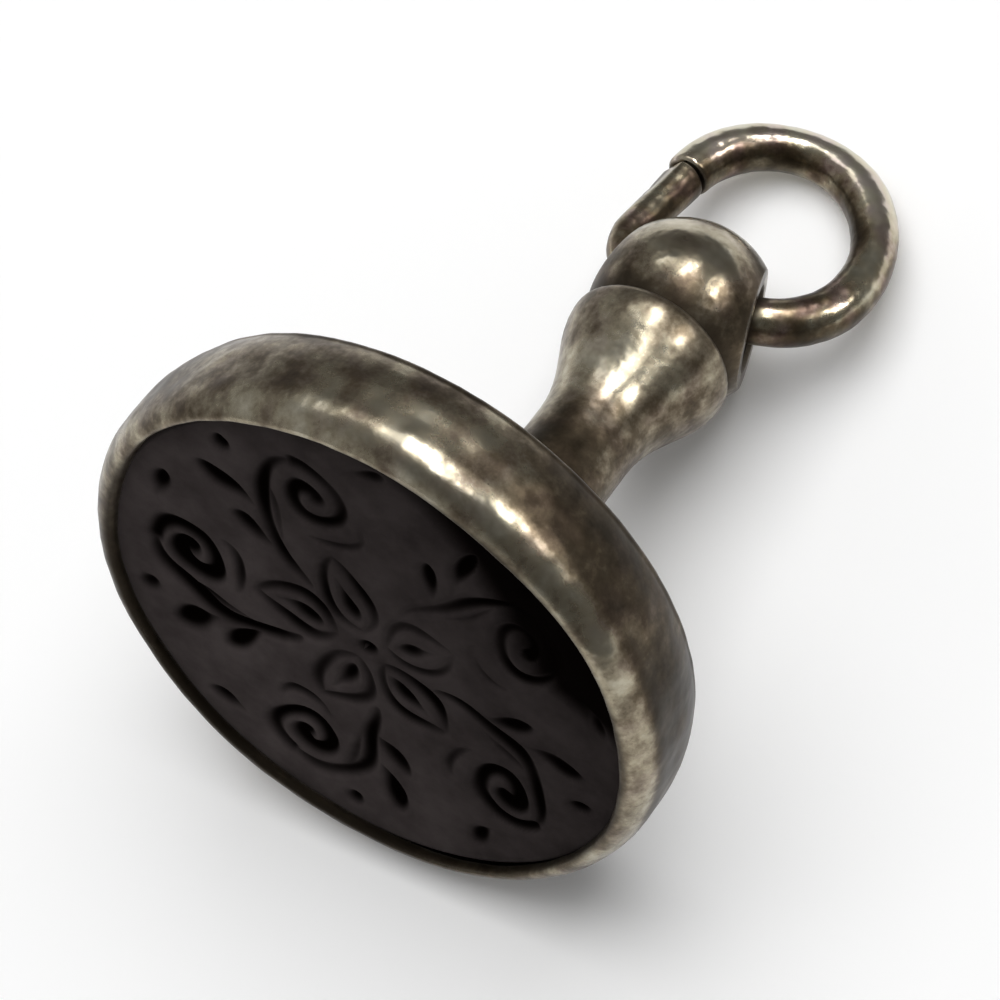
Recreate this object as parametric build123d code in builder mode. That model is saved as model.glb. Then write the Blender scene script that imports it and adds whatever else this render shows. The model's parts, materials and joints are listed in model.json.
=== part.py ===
"""A small silver hand seal: cup head, engraved matrix, turned stem, pierced knob and split ring.

Millimetres. The seal stands on its lip: +Z runs up the stem, X runs along the knob's cross hole, and the
origin is the middle of the lip's plane.
"""
import os
from math import asin, cos, degrees, radians, sin, tan

from build123d import *

# Head: a shallow cup with a rolled lip
head_radius = 10.0
head_height = 3.8
widest_height = 2.05
back_taper = 0.45
back_edge_chamfer = 0.3
lip_width = 0.9
lip_taper = 0.12
lip_round = 0.65
lip_overhang = 0.4
floor_thickness = 0.8

# Matrix: the engraved disc under the lip, bedded on pitch
matrix_recess = 0.35
matrix_thickness = 1.95
setting_clearance = 0.04

# Stem: trumpet foot, neck and pear-shaped bulb, soldered a little off the head's middle
stem_offset_x = 1.31
stem_offset_y = 0.59
foot_radius = 3.4
foot_edge = 0.3
foot_flare = 1.4
foot_flare_rise = 0.5
foot_reach = 3.8
neck_radius = 1.73
neck_reach = 2.1
pear_length = 4.35
bulb_radius = 2.89
bulb_reach = 1.25
crest_radius = 2.62
crest_drop = 0.35
crest_edge = 0.08
stem_height = 16.05
tenon_radius = 1.3
spigot_radius = 1.2
spigot_length = 0.75
solder_gap = 0.03

# Knob: a ball with two filed flats, square to the lines from its middle to the mouths of the cross hole
ball_radius = 3.13
ball_rise = 1.95
hole_rise = 2.57
flat_distance = 2.38
hole_mouth_chamfer = 0.15

# Jump ring: round wire, bent by hand from the bar in the hole, its two ends butted at the upper left
wire_radius = 0.84
hole_clearance = 0.12
bar_tilt = 9.0
bar_right = 1.75
lower_bend_radius = 3.1
lower_bend_turn = 73.0
side_radius = 4.8
side_turn = 55.0
top_bend_radius = 3.35
top_bend_turn = 130.0
bar_left = 1.32
hook_radius = 1.75
hook_turn = 107.0
joint_gap = 0.15
wire_end_chamfer = 0.1

# Filed facet on the lower of the ring's ends
facet_length = 4.2
facet_foot_depth = 0.45
facet_head_depth = 0.2
facet_turn = 20.0

# Heights and radii that follow from these
floor_height = head_height - floor_thickness
lip_opening_radius = head_radius - lip_width
pocket_radius = lip_opening_radius + lip_overhang
lip_corner_radius = head_radius - lip_taper
back_radius = head_radius - back_taper
matrix_radius = pocket_radius - setting_clearance
matrix_back = matrix_recess + matrix_thickness
foot_top = head_height + foot_edge
bulb_height = stem_height - crest_drop
neck_height = bulb_height - pear_length
spigot_top = stem_height + spigot_length
ball_height = stem_height + ball_rise
hole_height = stem_height + hole_rise

# The flats lean so that each is centred on the hole, and the hole has room for the tilted wire
flat_lean = asin((hole_height - ball_height) / flat_distance)
flat_half_width = flat_distance * cos(flat_lean)
tilt = radians(bar_tilt)
hole_radius = wire_radius / cos(tilt) + flat_half_width * tan(tilt) + hole_clearance

stem_plane = Plane(origin=(stem_offset_x, stem_offset_y, 0), x_dir=(1, 0, 0), z_dir=(0, -1, 0))
stem_axis = Axis((stem_offset_x, stem_offset_y, 0), (0, 0, 1))
hole_centre = Vector(stem_offset_x, stem_offset_y, hole_height)
ring_plane = Plane(origin=hole_centre, x_dir=(1, 0, 0), z_dir=(0, -1, 0))

# Head cup
with BuildPart() as bezel_cup:
    with BuildSketch(Plane.XZ) as cup_section:
        with BuildLine():
            Line((0, floor_height), (pocket_radius, floor_height))
            Line((pocket_radius, floor_height), (pocket_radius, matrix_recess + lip_overhang))
            Line((pocket_radius, matrix_recess + lip_overhang), (lip_opening_radius, matrix_recess))
            Line((lip_opening_radius, matrix_recess), (lip_opening_radius, 0))
            Line((lip_opening_radius, 0), (lip_corner_radius, 0))
            TangentArc((head_radius, widest_height), (lip_corner_radius, 0), tangent=(0, -1))
            TangentArc((head_radius, widest_height), (back_radius, head_height), tangent=(0, 1))
            Line((back_radius, head_height), (0, head_height))
            Line((0, head_height), (0, floor_height))
        make_face()
        lip_corner = cup_section.vertices().group_by(Axis.Y)[0].sort_by(Axis.X)[-1]
        fillet(lip_corner, lip_round)
        back_corner = cup_section.vertices().group_by(Axis.Y)[-1].sort_by(Axis.X)[-1]
        chamfer(back_corner, back_edge_chamfer)
    revolve(axis=Axis.Z)
    with Locations((stem_offset_x, stem_offset_y, head_height)):
        Hole(tenon_radius + solder_gap, depth=floor_thickness)
bezel_cup.part.label = "bezel_cup"

# Engraved matrix: its bevelled edge sits under the lip
with BuildPart() as seal_matrix:
    with BuildSketch(Plane.XY.offset(matrix_recess)):
        Circle(matrix_radius)
    extrude(amount=matrix_thickness)
    chamfer(seal_matrix.edges().group_by(Axis.Z)[0], lip_overhang)
seal_matrix.part.label = "seal_matrix"

# Pitch bed between the matrix and the cup's floor
with BuildPart() as setting_pitch:
    with BuildSketch(Plane.XY.offset(matrix_back)):
        Circle(matrix_radius)
    extrude(amount=floor_height - matrix_back)
setting_pitch.part.label = "setting_pitch"

# Stem, turned in one piece with its tenon and spigot
with BuildPart() as stem:
    with BuildSketch(stem_plane):
        with BuildLine():
            Line((0, floor_height), (tenon_radius, floor_height))
            Line((tenon_radius, floor_height), (tenon_radius, head_height))
            Line((tenon_radius, head_height), (foot_radius, head_height))
            Line((foot_radius, head_height), (foot_radius, foot_top))
            Bezier(
                (foot_radius, foot_top),
                (foot_radius - foot_flare, foot_top + foot_flare_rise),
                (neck_radius, neck_height - foot_reach),
                (neck_radius, neck_height),
            )
            Bezier(
                (neck_radius, neck_height),
                (neck_radius, neck_height + neck_reach),
                (bulb_radius, bulb_height - bulb_reach),
                (bulb_radius, bulb_height),
            )
            Bezier(
                (bulb_radius, bulb_height),
                (bulb_radius, stem_height - crest_edge),
                (crest_radius, stem_height),
            )
            Line((crest_radius, stem_height), (spigot_radius, stem_height))
            Line((spigot_radius, stem_height), (spigot_radius, spigot_top))
            Line((spigot_radius, spigot_top), (0, spigot_top))
            Line((0, spigot_top), (0, floor_height))
        make_face()
    revolve(axis=stem_axis)
stem.part.label = "stem"

# Knob: ball, flats, cross hole with chamfered mouths, and the socket for the stem's spigot
seat_angle = degrees(asin(ball_rise / ball_radius))
with BuildPart() as knob:
    with BuildSketch(stem_plane):
        with BuildLine():
            ball_arc = CenterArc((0, ball_height), ball_radius, -seat_angle, 90 + seat_angle)
            Line(ball_arc @ 1, (0, stem_height))
            Line((0, stem_height), ball_arc @ 0)
        make_face()
    revolve(axis=stem_axis)
    for side in (-1, 1):
        flat_normal = Vector(side * cos(flat_lean), 0, sin(flat_lean))
        flat_centre = Vector(stem_offset_x, stem_offset_y, ball_height) + flat_normal * flat_distance
        split(bisect_by=Plane(origin=flat_centre, z_dir=flat_normal), keep=Keep.BOTTOM)
    with Locations(Location(hole_centre, (0, 90, 0))):
        Cylinder(hole_radius, 2 * ball_radius, mode=Mode.SUBTRACT)
    hole_mouths = knob.edges().filter_by(GeomType.ELLIPSE)
    chamfer(hole_mouths, hole_mouth_chamfer)
    with Locations((stem_offset_x, stem_offset_y, stem_height)):
        Cylinder(
            spigot_radius + solder_gap,
            spigot_length + solder_gap,
            align=(Align.CENTER, Align.CENTER, Align.MIN),
            mode=Mode.SUBTRACT,
        )
knob.part.label = "knob"

# Jump ring: from the bar in the hole one way over the top to the joint, the other way straight up to it
with BuildPart() as jump_ring:
    with BuildLine(ring_plane):
        bar = Line(
            (-bar_left * cos(tilt), -bar_left * sin(tilt)),
            (bar_right * cos(tilt), bar_right * sin(tilt)),
        )
        lower_bend = JernArc(bar @ 1, bar % 1, lower_bend_radius, lower_bend_turn)
        right_side = JernArc(lower_bend @ 1, lower_bend % 1, side_radius, side_turn)
        top_bend = JernArc(right_side @ 1, right_side % 1, top_bend_radius, top_bend_turn)
        hook = JernArc(bar @ 0, -(bar % 0), hook_radius, -hook_turn)
        joint_point = top_bend @ 1
        joint_direction = top_bend % 1
        end_direction = hook % 1
        end_shortfall = joint_gap + (joint_point - hook @ 1).dot(joint_direction)
        end_run = end_shortfall / end_direction.dot(joint_direction)
        straight_end = Line(hook @ 1, hook @ 1 + end_direction * end_run)
    with BuildSketch(Plane(origin=joint_point, z_dir=joint_direction)):
        Circle(wire_radius)
    sweep()
    wire_ends = jump_ring.faces().filter_by(GeomType.PLANE)
    chamfer(wire_ends.edges(), wire_end_chamfer)
    facing = ring_plane.z_dir
    facet_out = facing.cross(end_direction) * cos(radians(facet_turn)) + facing * sin(radians(facet_turn))
    wire_end = straight_end @ 1
    facet_head = wire_end + end_direction * joint_gap / 2 + facet_out * (wire_radius - facet_head_depth)
    facet_foot = wire_end - end_direction * facet_length + facet_out * (wire_radius - facet_foot_depth)
    facet_run = facet_foot - facet_head
    facet_normal = facet_out.cross(end_direction).cross(facet_run)
    with BuildSketch(Plane(origin=facet_head, x_dir=facet_run, z_dir=facet_normal)):
        Rectangle(facet_run.length + 2 * wire_radius, 2 * wire_radius, align=(Align.MIN, Align.CENTER))
    extrude(amount=wire_radius, mode=Mode.SUBTRACT)
jump_ring.part.label = "jump_ring"

os.makedirs("parts", exist_ok=True)
for piece in (bezel_cup, seal_matrix, setting_pitch, stem, knob, jump_ring):
    export_step(piece.part, f"parts/{piece.part.label}.step")
    print(piece.part.label, round(piece.part.volume, 3), piece.part.is_valid)
print("hole radius", round(hole_radius, 3), "flat half width", round(flat_half_width, 3))
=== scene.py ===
"""Looks of a small silver hand seal lying on a white table: patina, engraved face, light and camera.

Metres, in the part's own frame. Names that end in _MM hold millimetres, which MM turns into metres.
"""
import json
import math

import bpy
import numpy as np
from mathutils import Matrix, Vector, noise as solid_noise


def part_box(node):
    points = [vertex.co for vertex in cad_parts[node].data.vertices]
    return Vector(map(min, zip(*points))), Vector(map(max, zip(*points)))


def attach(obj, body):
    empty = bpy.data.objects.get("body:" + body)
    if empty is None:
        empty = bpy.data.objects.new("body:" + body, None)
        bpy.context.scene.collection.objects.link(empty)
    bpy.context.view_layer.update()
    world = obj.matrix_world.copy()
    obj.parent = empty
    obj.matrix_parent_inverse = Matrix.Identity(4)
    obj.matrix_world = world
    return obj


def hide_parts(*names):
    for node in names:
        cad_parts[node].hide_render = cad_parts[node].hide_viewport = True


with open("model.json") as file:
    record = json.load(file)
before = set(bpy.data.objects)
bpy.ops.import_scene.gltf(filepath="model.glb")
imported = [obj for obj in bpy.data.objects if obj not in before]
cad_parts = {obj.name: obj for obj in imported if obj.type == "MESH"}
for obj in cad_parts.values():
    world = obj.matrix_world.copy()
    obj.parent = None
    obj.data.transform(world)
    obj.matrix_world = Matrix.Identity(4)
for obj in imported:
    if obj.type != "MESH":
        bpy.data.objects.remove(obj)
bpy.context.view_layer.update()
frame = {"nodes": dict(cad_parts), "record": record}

MM = 0.001
SEAL_MIDDLE = Vector((0.0, 0.0, 0.012))
SHARP_EDGE = math.radians(40)

# Camera: where the photograph was taken from, in the part's frame
CAMERA_PLACE_MM = (35.77, -97.57, -62.10)
CAMERA_RIGHT = (0.8592, -0.0529, 0.5089)
CAMERA_FORWARD = (-0.2821, 0.7808, 0.5574)
CAMERA_LENS_MM = 144.0
CAMERA_SENSOR_MM = 36.0
CAMERA_NEAR = 0.005

# Table: the seal lies on its rim and its ring, turned a little about its own length
TABLE_LEAN = 0.09
TABLE_STEEPEST = math.radians(45)
TABLE_HALVINGS = 30
TABLE_SIZE = 1.2
TABLE_COLOUR = (0.95, 0.95, 0.95, 1.0)
TABLE_ROUGHNESS = 0.8
TABLE_SPECULAR = 0.1
TABLE_GLOW = 0.06

# Window panes, which show only as gloss: direction from the seal, width and height, and radiance
PANES = {
    "pane_left": ((-0.05, -0.97, 0.19), (0.05, 0.09), 25.0),
    "pane_middle": ((0.15, -0.985, -0.07), (0.06, 0.06), 10.0),
    "pane_right": ((0.59, -0.79, 0.20), (0.05, 0.09), 25.0),
    "pane_far": ((-0.46, -0.87, 0.20), (0.14, 0.07), 1.7),
}
PANE_DISTANCE = 0.30

# A wide top light, which the metal doesn't mirror, and a dim room that is lighter on the left
TOP_DISTANCE = 0.45
TOP_SIZE = (0.48, 0.48)
TOP_RADIANCE = 3.1
TOP_RIGHT = 0.16
TOP_FAR = 0.28
ROOM_DARK = 0.14
ROOM_LIGHT = 0.42
ROOM_FADE = (0.0, 0.7)

# Places on the part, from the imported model
RING_PIVOT_MM = Vector(frame["record"]["behaviour"]["joints"][0]["pos_m"]) / MM
HEAD_TOP_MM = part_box("bezel_cup")[1][2] / MM
HEAD_RADIUS_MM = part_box("bezel_cup")[1][0] / MM
KNOB_SEAT_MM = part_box("knob")[0][2] / MM

# Sizes that repeat the CAD model's
RING_JOINT_HEIGHT_MM = 23.35
FOOT_RADIUS_MM = 3.4
LIP_OPENING_MM = 9.1
HOLE_RADIUS_MM = 1.33

# Silver's noises, each as clouds per millimetre, detail and roughness
CLOUDS = (0.30, 4.0, 0.5)
MOTTLE = (0.95, 5.0, 0.62)
GRAIN = (4.5, 3.0, 0.6)
TINTING = (0.9, 2.0, 0.5)
HAMMERING = (1.3, 1.2, 0.5)
PITTING = (3.0, 0.6, 0.5)

# Silver's colours, from black tarnish and painted shade to bright metal and painted sheen, and its faint
# purple and green tints
PATINA_SHARES = (0.40, 0.48, 0.12)
PATINA_COLOURS = [
    (0.22, (0.026, 0.020, 0.013)),
    (0.34, (0.055, 0.042, 0.028)),
    (0.42, (0.105, 0.083, 0.056)),
    (0.48, (0.195, 0.163, 0.118)),
    (0.54, (0.32, 0.282, 0.205)),
    (0.63, (0.48, 0.440, 0.345)),
    (0.75, (0.64, 0.600, 0.490)),
]
TINT_COLOURS = [
    (0.36, (0.62, 0.42, 0.60)),
    (0.50, (0.60, 0.52, 0.40)),
    (0.62, (0.45, 0.50, 0.48)),
]
DULL_PATINA = 0.38
BRIGHT_PATINA = 0.60
WORN_EDGE_MM = 0.22
WORN_EDGE_LIKENESS = (0.99, 0.86)
WORN_EDGE_SAMPLES = 6
WORN_SHARE = 0.5
WORN_COLOUR = (0.56, 0.53, 0.47, 1.0)
# Dirt, with painted shade in creases and hollows: how it is mottled, its share, its colour and its
# roughness
DIRT_AND_SHADE_MOTTLE = (0.25, 0.5)
DIRT_AND_SHADE_SHARE = 0.85
DIRT_AND_SHADE_COLOUR = (0.035, 0.027, 0.019, 1.0)
GRIME_ROUGHNESS = 0.3

# Dirt, with painted shade in creases and the hole, on the silver: half widths of its bands, and pairs that
# run from clean to dark
LIP_DIRT_SHADE_MM = 0.3
FOOT_DIRT_SHADE_MM = 0.5
CREST_DIRT_SHADE_MM = 0.3
SEAT_DIRT_SHADE_MM = 0.75
MOUTH_DIRT_SHADE_MM = 0.3
JOINT_GRIME_MM = 0.12
JOINT_SIDE_MM = (0.0, -0.4)
HOLE_DEPTH_MM = (2.6, 2.2)
HOLE_HEIGHT_MM = (20.5, 19.5)

# Tarnish and painted shade on the head: each pair runs from where there is none to where it is full
# Painted shade for dark reflections on the ends and on the lip towards the table; tarnish on the back
CUP_RIGHT_MM = (1.0, 9.0)
CUP_LEFT_MM = (-4.0, -9.0)
CUP_LEFT_SHARE = 0.3
CUP_LOW_WAY = (-0.47, 0.88, 0.0)
CUP_LOW_MM = (2.0, 7.0)
CUP_LIP_HEIGHT_MM = (1.2, 0.5)
CUP_LIP_SHARE = 0.85
CUP_BACK_HEIGHT_MM = (3.4, 3.75)
CUP_BACK_SHARE = 0.65
# A lighter band on the upper shoulder: wear and a painted sheen
CUP_WEAR_AND_SHEEN_HEIGHT_MM = 0.5
CUP_WEAR_AND_SHEEN_REACH_MM = 0.7
CUP_WEAR_AND_SHEEN_SHARE = 0.22

# Stem: tarnish and a painted shadow of the head on the neck, more in front. Knob: darker on its flat and
# near its seat
NECK_HEIGHT_MM = (13.2, 9.8)
NECK_SHARE = 0.6
NECK_FRONT_WAY = (0.0, -1.0, 0.0)
NECK_FRONT_MM = (1.1, 1.7)
NECK_FRONT_SHARE = 0.8
KNOB_FLAT_MM = (2.4, 3.7)
KNOB_LOW_HEIGHT_MM = (17.3, 16.3)
# Painted shade on the knob's left side, and a painted sheen on its top
KNOB_LEFT_WAY = (-0.86, 0.05, -0.51)
KNOB_LEFT_MM = (0.9, 2.6)
KNOB_LEFT_SHARE = 0.7
KNOB_TOP_WAY = (-0.43, -0.62, 0.66)
KNOB_TOP_MM = (1.2, 2.2)
KNOB_TOP_SHARE = 0.55

# Ring: darker low down and on its left leg, with painted shade on its sides and a painted sheen on top; its
# inner side is 1, its outer side -1
RING_LOW_HEIGHT_MM = (23.5, 20.0)
RING_LOW_SHARE = 0.45
RING_LEFT_MM = (-0.8, -1.6)
RING_LEFT_SHARE = 0.2
# Painted shade for dark reflections on the inner and outer sides
RING_INNER = (0.1, 0.7)
RING_OUTER = (-0.70, -0.98)
RING_OUTER_SHARE = 0.95
# Painted sheen on the top
RING_TOP_HEIGHT_MM = (23.5, 25.5)
RING_TOP_SHARE = 0.8
RING_TOP_SIDE = (1.3, 0.2)

# Stone and pitch
STONE_CLOUDS = (0.5, 5.0, 0.6)
STONE_COLOURS = [(0.35, (0.040, 0.033, 0.0325)), (0.65, (0.064, 0.0535, 0.0525))]
# Dark of the grooves' dirt and of the painted shadow and shade on the face
STONE_DIRT_AND_SHADE_COLOUR = (0.0015, 0.0009, 0.0007, 1.0)
STONE_GLOSS_SCALE = 2.0
STONE_ROUGHNESS = [(0.35, 0.62), (0.65, 0.46)]
STONE_GRAIN_SCALE = 5.0
STONE_GRAIN_STRENGTH = 0.6
STONE_GRAIN_MM = 0.02
PITCH_SCALE = 1.0
PITCH_COLOURS = [(0.3, (0.03, 0.018, 0.01)), (0.7, (0.07, 0.04, 0.02))]
PITCH_ROUGHNESS = 0.5

# Head's section: it follows the CAD cup's, with a broader shoulder
POCKET_MM = 9.5
POCKET_ROWS = 2
FLOOR_MM = 3.0
LIP_UNDER_MM = 0.75
FACE_RECESS_MM = 0.35
LIP_CREST_MM = 0.16
SHOULDER_MM = 1.3
WIDEST_MM = 2.05
BACK_TAPER_MM = 0.45
BACK_EDGE_MM = 0.25
BACK_INNER_MM = 1.0
ROLL_STEPS = 8
SHOULDER_STEPS = 30
SIDE_STEPS = 22
BACK_EDGE_STEPS = 9
BACK_RINGS = 28
HEAD_STEPS = 480

# Head's handwork: a wave round it is a share, a count and a phase
RIM_WAVES = ((0.5, 2, 0.6), (0.4, 3, 2.1), (0.35, 5, 4.0), (0.25, 9, 1.2), (0.2, 14, 0.3))
RIM_INSET_MM = 0.03
RIM_SWAY_MM = 0.025
LIP_WAVES = ((0.6, 2, 2.6), (0.4, 4, 0.9), (0.3, 7, 3.0))
LIP_SWAY_MM = 0.16

# Dents of head and back: lumps are a coarse rate and a fine one per millimetre, and the fine one's share
HEAD_DENT_MM = 0.05
HEAD_LUMPS = (0.55, 1.4, 0.4)
BACK_DENT_MM = 0.16
BACK_DENT_LEVEL = 0.5
BACK_LUMPS = (0.42, 1.1, 0.4)
BACK_FADE_MM = 1.5
FOOT_FADE_MM = 1.2

# Ring: the CAD wire's path from its bar in the hole, with the wire hammered thinner on its left leg.
# A bend is a radius in millimetres and a turn in degrees.
BAR_TILT = math.radians(9)
BAR_LEFT_MM = 1.32
BAR_RIGHT_MM = 1.75
RIGHT_BENDS = ((3.1, 73), (4.8, 55), (3.35, 130))
HOOK_RADIUS_MM = 1.75
HOOK_TURN = math.radians(107)
LEG_END_MM = (-1.58, 23.34)
WIRE_MM = 0.84
WIRE_SWAY = 0.025
WIRE_SWAY_RATE = 1.1
WIRE_SWAY_PHASE = 0.7
WIRE_END_MM = 0.12
WIRE_END_ROUNDING = 0.10
WIRE_THINNING = 0.22
THIN_MIDDLE_MM = 3.6
THIN_REACH_MM = 3.2
FACET_MM = 2.2
FACET_DEPTH_MM = 0.24
FACET_TURN = math.radians(35)
RING_SPACING_MM = 0.08
RING_SIDES = 40
RING_DENT_MM = 0.028
RING_LUMPS = (0.8, 2.0, 0.5)

# Strokes of the engraving: how their widths run, from a share at the end to the full width
STROKE_SPACING_MM = 0.08
CURVE_END_SHARE = 0.45
CURVE_SWELL = 0.7
CURL_START_SHARE = 0.72
CURL_SHRINK = 0.80
LEAF_END_SHARE = 0.25
LEAF_LEAN = 1.6
LEAF_SWELL = 0.8

# Engraving: five sectors, no two quite alike; a sway is an amount and a rate
MOTIF_TURN = math.radians(-20)
MOTIF_SECTORS = 5
SECTOR_TURN_SWAY = (0.05, 2.4)
SECTOR_WIDTH = 1.28
SECTOR_WIDTH_SWAY = (0.14, 1.7)
WANDER_MM = 0.10
WANDER_RATE = 1.3
WANDER_STEP = 2.0
GROOVE_SLOPE = 0.85
GROOVE_REACH = 1.5
DEEPEST_GROOVE_MM = 0.36

# Engraved face: a grid of rings and steps; a wave is its rates in x and y and its phase
FACE_RINGS = 120
FACE_STEPS = 600
NEAR_MM = 1e-4
CUT_SWAY_MM = 0.10
CUT_SWAY_ACROSS = (0.0, 1.9, 0.5)
CUT_SWAY_UP = (2.2, 0.0, 1.1)
WEAR_LEVEL = 0.84
WEAR_SLOW_SHARE = 0.12
WEAR_SLOW_ACROSS = (0.8, 0.0, -0.5)
WEAR_SLOW_UP = (0.0, 0.9, 0.8)
WEAR_FAST_SHARE = 0.08
WEAR_FAST = (2.3, 1.7, 0.0)
WAVE_MM = 0.012
FACE_WAVES = (
    (1.0, (0.9, 0.0, 1.3)),
    (1.0, (0.0, 1.15, 0.4)),
    (1.0, (0.7, 0.7, 0.0)),
    (0.6, (1.9, -1.9, 0.0)),
)

# Sunken side of the face beside the lip, darkened with a painted shadow of the lip, and a painted shade
# that darkens the face towards it
MOAT_DEPTH_MM = 0.16
MOAT_WIDTH_MM = 4.2
MOAT_EDGE_MM = 2.0
MOAT_ANGLE = math.radians(-30)
MOAT_SPREADS = math.radians(20), math.radians(58)
MOAT_FADE = 3
MOAT_PAINTED_SHADOW = 0.98
GROOVE_GRIME_SHARE = 0.62
SHADED_SIDE_SHARE = 0.45
SHADED_SIDE_START_MM = -6.0
SHADED_SIDE_WIDTH_MM = 14.0


def reach(node, direction):
    """How far a CAD node reaches in a direction from the origin."""
    return max(vertex.co.dot(direction) for vertex in frame["nodes"][node].data.vertices)


def table_down():
    """The direction down to a table that touches both the head's rim and the ring."""
    low, high = 0.0, TABLE_STEEPEST
    side = math.sqrt(1 - TABLE_LEAN ** 2)
    for _ in range(TABLE_HALVINGS):
        tilt = (low + high) / 2
        down = Vector((TABLE_LEAN, side * math.cos(tilt), side * math.sin(tilt)))
        if reach("jump_ring", down) > reach("bezel_cup", down):
            high = tilt
        else:
            low = tilt
    return down


def add(tree, kind, inputs=None, **settings):
    """Add a shader node, set its properties, and set or link its inputs."""
    made = tree.nodes.new("ShaderNode" + kind)
    for name, value in settings.items():
        setattr(made, name, value)
    for name, value in (inputs or {}).items():
        if isinstance(value, bpy.types.NodeSocket):
            tree.links.new(value, made.inputs[name])
        else:
            made.inputs[name].default_value = value
    return made


def noise(tree, place, scale, detail=4.0, roughness=0.55):
    """Cloudy noise from 0 to 1, with scale in clouds per millimetre."""
    inputs = {"Vector": place, "Scale": scale, "Detail": detail, "Roughness": roughness}
    return add(tree, "TexNoise", inputs).outputs["Fac"]


def ramp(tree, factor, stops):
    """A colour ramp with (position, grey level or colour) stops."""
    made = add(tree, "ValToRGB", {"Fac": factor})
    elements = made.color_ramp.elements
    while len(elements) < len(stops):
        elements.new(1.0)
    for element, (position, colour) in zip(elements, stops):
        element.position = position
        element.color = (*colour, 1.0) if isinstance(colour, tuple) else (colour, colour, colour, 1.0)
    return made.outputs["Color"]


def math_node(tree, operation, first, second=0.0):
    """An operation on one or two values."""
    return add(tree, "Math", {0: first, 1: second}, operation=operation).outputs[0]


def times(tree, first, second):
    """The product of two values."""
    return math_node(tree, "MULTIPLY", first, second)


def plus(tree, first, second):
    """The sum of two values."""
    return math_node(tree, "ADD", first, second)


def minus(tree, first, second):
    """The first value less the second."""
    return math_node(tree, "SUBTRACT", first, second)


def largest(tree, first, *others):
    """The largest of several values."""
    for other in others:
        first = math_node(tree, "MAXIMUM", first, other)
    return first


def mix_colour(tree, factor, first, second, blend="MIX"):
    """A mix of two colours."""
    made = add(tree, "Mix", {0: factor, 6: first, 7: second}, data_type="RGBA", blend_type=blend)
    return made.outputs[2]


def vector_node(tree, operation, first, second):
    """The outputs of an operation on two vectors."""
    return add(tree, "VectorMath", {0: first, 1: second}, operation=operation).outputs


def map_range(tree, value, low, high):
    """0 at low, 1 at high, and a smooth step between them."""
    inputs = {"Value": value, "From Min": low, "From Max": high}
    return add(tree, "MapRange", inputs, interpolation_type="SMOOTHSTEP").outputs[0]


def band(tree, value, middle, width):
    """1 where a value is at the middle of a band, 0 outside it."""
    away = math_node(tree, "ABSOLUTE", minus(tree, value, middle))
    return map_range(tree, away, width, 0.0)


def new_material(name):
    """An empty material with its Principled shader already joined to the output."""
    material = bpy.data.materials.new(name)
    material.use_nodes = True
    tree = material.node_tree
    tree.nodes.clear()
    shader = add(tree, "BsdfPrincipled")
    output = add(tree, "OutputMaterial")
    tree.links.new(shader.outputs["BSDF"], output.inputs["Surface"])
    return material, tree, shader


def millimetres(tree, offset=(0.0, 0.0, 0.0)):
    """The surface's place in millimetres, moved by an offset so that pieces don't share one pattern."""
    place = add(tree, "TexCoord").outputs["Object"]
    scaled = add(tree, "VectorMath", {0: place, "Scale": 1 / MM}, operation="SCALE").outputs[0]
    return vector_node(tree, "ADD", scaled, offset)[0]


def coordinates(tree, place):
    """A place's X, Y and Z."""
    return add(tree, "SeparateXYZ", {0: place}).outputs


def distance_from_axis(tree, place, centre, axis):
    """How far a place is from a line through a centre, along X, Y or Z."""
    away = vector_node(tree, "SUBTRACT", place, centre)[0]
    across = [0.0 if name == axis else 1.0 for name in "XYZ"]
    flat = vector_node(tree, "MULTIPLY", away, across)[0]
    return add(tree, "VectorMath", {0: flat}, operation="LENGTH").outputs["Value"]


def distance_along(tree, place, direction):
    """How far a place lies from the ring's pivot in a direction."""
    away = vector_node(tree, "SUBTRACT", place, RING_PIVOT_MM)[0]
    return vector_node(tree, "DOT_PRODUCT", away, direction)["Value"]


def edge_mask(tree, radius_mm):
    """1 along sharp edges, where a rounded normal departs from the true one."""
    rounded = add(tree, "Bevel", {"Radius": radius_mm * MM}, samples=WORN_EDGE_SAMPLES).outputs["Normal"]
    true = add(tree, "NewGeometry").outputs["Normal"]
    likeness = vector_node(tree, "DOT_PRODUCT", rounded, true)["Value"]
    return map_range(tree, likeness, *WORN_EDGE_LIKENESS)


def cup_dirt_and_shade(tree, place):
    """Dirt and painted crease shade inside the lip and round the stem's foot."""
    from_middle = distance_from_axis(tree, place, (0.0, 0.0, 0.0), "Z")
    lip = band(tree, from_middle, LIP_OPENING_MM, LIP_DIRT_SHADE_MM)
    from_stem = distance_from_axis(tree, place, RING_PIVOT_MM, "Z")
    foot = band(tree, from_stem, FOOT_RADIUS_MM, FOOT_DIRT_SHADE_MM)
    return largest(tree, lip, foot)


def stem_dirt_and_shade(tree, place):
    """Dirt and painted crease shade at the foot's edge and under the knob."""
    height = coordinates(tree, place)["Z"]
    foot = band(tree, height, HEAD_TOP_MM, FOOT_DIRT_SHADE_MM)
    crest = band(tree, height, KNOB_SEAT_MM, CREST_DIRT_SHADE_MM)
    return largest(tree, foot, crest)


def knob_dirt_and_shade(tree, place):
    """Dirt and painted shade at the knob's seat and round the mouths of its hole."""
    seat = band(tree, coordinates(tree, place)["Z"], KNOB_SEAT_MM, SEAT_DIRT_SHADE_MM)
    from_hole = distance_from_axis(tree, place, RING_PIVOT_MM, "X")
    mouth = band(tree, from_hole, HOLE_RADIUS_MM, MOUTH_DIRT_SHADE_MM)
    return largest(tree, seat, mouth)


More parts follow.
